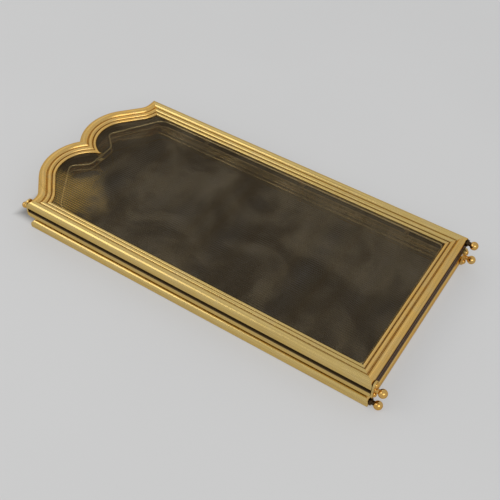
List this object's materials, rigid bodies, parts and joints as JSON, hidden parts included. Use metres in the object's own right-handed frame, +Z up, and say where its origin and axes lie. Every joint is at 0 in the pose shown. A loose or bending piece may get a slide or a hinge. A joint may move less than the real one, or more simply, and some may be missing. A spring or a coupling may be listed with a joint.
{
  "type": "fireplace screen",
  "caption": "Three-panel folding brass spark screen with a twin-lobed top, moulded frame, woven wire mesh and ball feet, folded flat.",
  "frame": {"origin": "bottom centre of the folded stack's box, on the surface that it lies on", "axes": "+Z up through the folded stack, +Y up the panels' height towards the lobed top, X across the panels' width"},
  "size_m": [0.323, 0.6711, 0.0532],
  "materials": {
    "frame_brass": "aged polished brass moulding with fine lengthwise brushing",
    "turned_brass": "polished turned brass, deeper gold",
    "hardware_brass": "dull brass hardware with dark recesses",
    "rod_brass": "bright drawn brass rod",
    "woven_wire": "dark patinated woven brass wire"
  },
  "bodies": {
    "panel_c": {"ball_foot_panel_c": "turned_brass", "panel_c_bottom_rail": "frame_brass", "panel_c_clip_screws": "hardware_brass", "panel_c_mesh": "woven_wire", "panel_c_retaining_rod": "rod_brass", "panel_c_rod_clips": "hardware_brass", "panel_c_stile_left": "frame_brass", "panel_c_stile_right": "frame_brass", "panel_c_top_rail_left": "frame_brass", "panel_c_top_rail_right": "frame_brass", "pivot_screw_bc_c_bottom": "hardware_brass", "pivot_screw_bc_c_top": "hardware_brass", "washer_bc_c_bottom": "hardware_brass", "washer_bc_c_top": "hardware_brass"},
    "link_bc": {"ball_foot_link_bc": "turned_brass", "finial_link_bc": "turned_brass", "link_bc_bottom": "hardware_brass", "link_bc_top": "hardware_brass"},
    "panel_b": {"panel_b_bottom_rail": "frame_brass", "panel_b_clip_screws": "hardware_brass", "panel_b_mesh": "woven_wire", "panel_b_retaining_rod": "rod_brass", "panel_b_rod_clips": "hardware_brass", "panel_b_stile_left": "frame_brass", "panel_b_stile_right": "frame_brass", "panel_b_top_rail_left": "frame_brass", "panel_b_top_rail_right": "frame_brass", "pivot_screw_ab_b_bottom": "hardware_brass", "pivot_screw_ab_b_top": "hardware_brass", "pivot_screw_bc_b_bottom": "hardware_brass", "pivot_screw_bc_b_top": "hardware_brass", "washer_ab_b_bottom": "hardware_brass", "washer_ab_b_top": "hardware_brass", "washer_bc_b_bottom": "hardware_brass", "washer_bc_b_top": "hardware_brass"},
    "link_ab": {"ball_foot_link_ab": "turned_brass", "finial_link_ab": "turned_brass", "link_ab_bottom": "hardware_brass", "link_ab_top": "hardware_brass"},
    "panel_a": {"ball_foot_panel_a": "turned_brass", "panel_a_bottom_rail": "frame_brass", "panel_a_clip_screws": "hardware_brass", "panel_a_mesh": "woven_wire", "panel_a_retaining_rod": "rod_brass", "panel_a_rod_clips": "hardware_brass", "panel_a_stile_left": "frame_brass", "panel_a_stile_right": "frame_brass", "panel_a_top_rail_left": "frame_brass", "panel_a_top_rail_right": "frame_brass", "pivot_screw_ab_a_bottom": "hardware_brass", "pivot_screw_ab_a_top": "hardware_brass", "washer_ab_a_bottom": "hardware_brass", "washer_ab_a_top": "hardware_brass"}
  },
  "joints": [
    {"name": "link_bc_on_panel_c", "type": "hinge", "parent": "panel_c", "child": "link_bc", "pos_m": [0.1545, 0, 0.0066], "axis": [0, 1, 0], "range_deg": [0, 90]},
    {"name": "panel_b_on_link_bc", "type": "hinge", "parent": "link_bc", "child": "panel_b", "pos_m": [0.1545, 0, 0.0264], "axis": [0, 1, 0], "range_deg": [0, 90]},
    {"name": "link_ab_on_panel_b", "type": "hinge", "parent": "panel_b", "child": "link_ab", "pos_m": [-0.1545, 0, 0.0264], "axis": [0, -1, 0], "range_deg": [0, 90]},
    {"name": "panel_a_on_link_ab", "type": "hinge", "parent": "link_ab", "child": "panel_a", "pos_m": [-0.1545, 0, 0.0462], "axis": [0, -1, 0], "range_deg": [0, 90]}
  ]
}
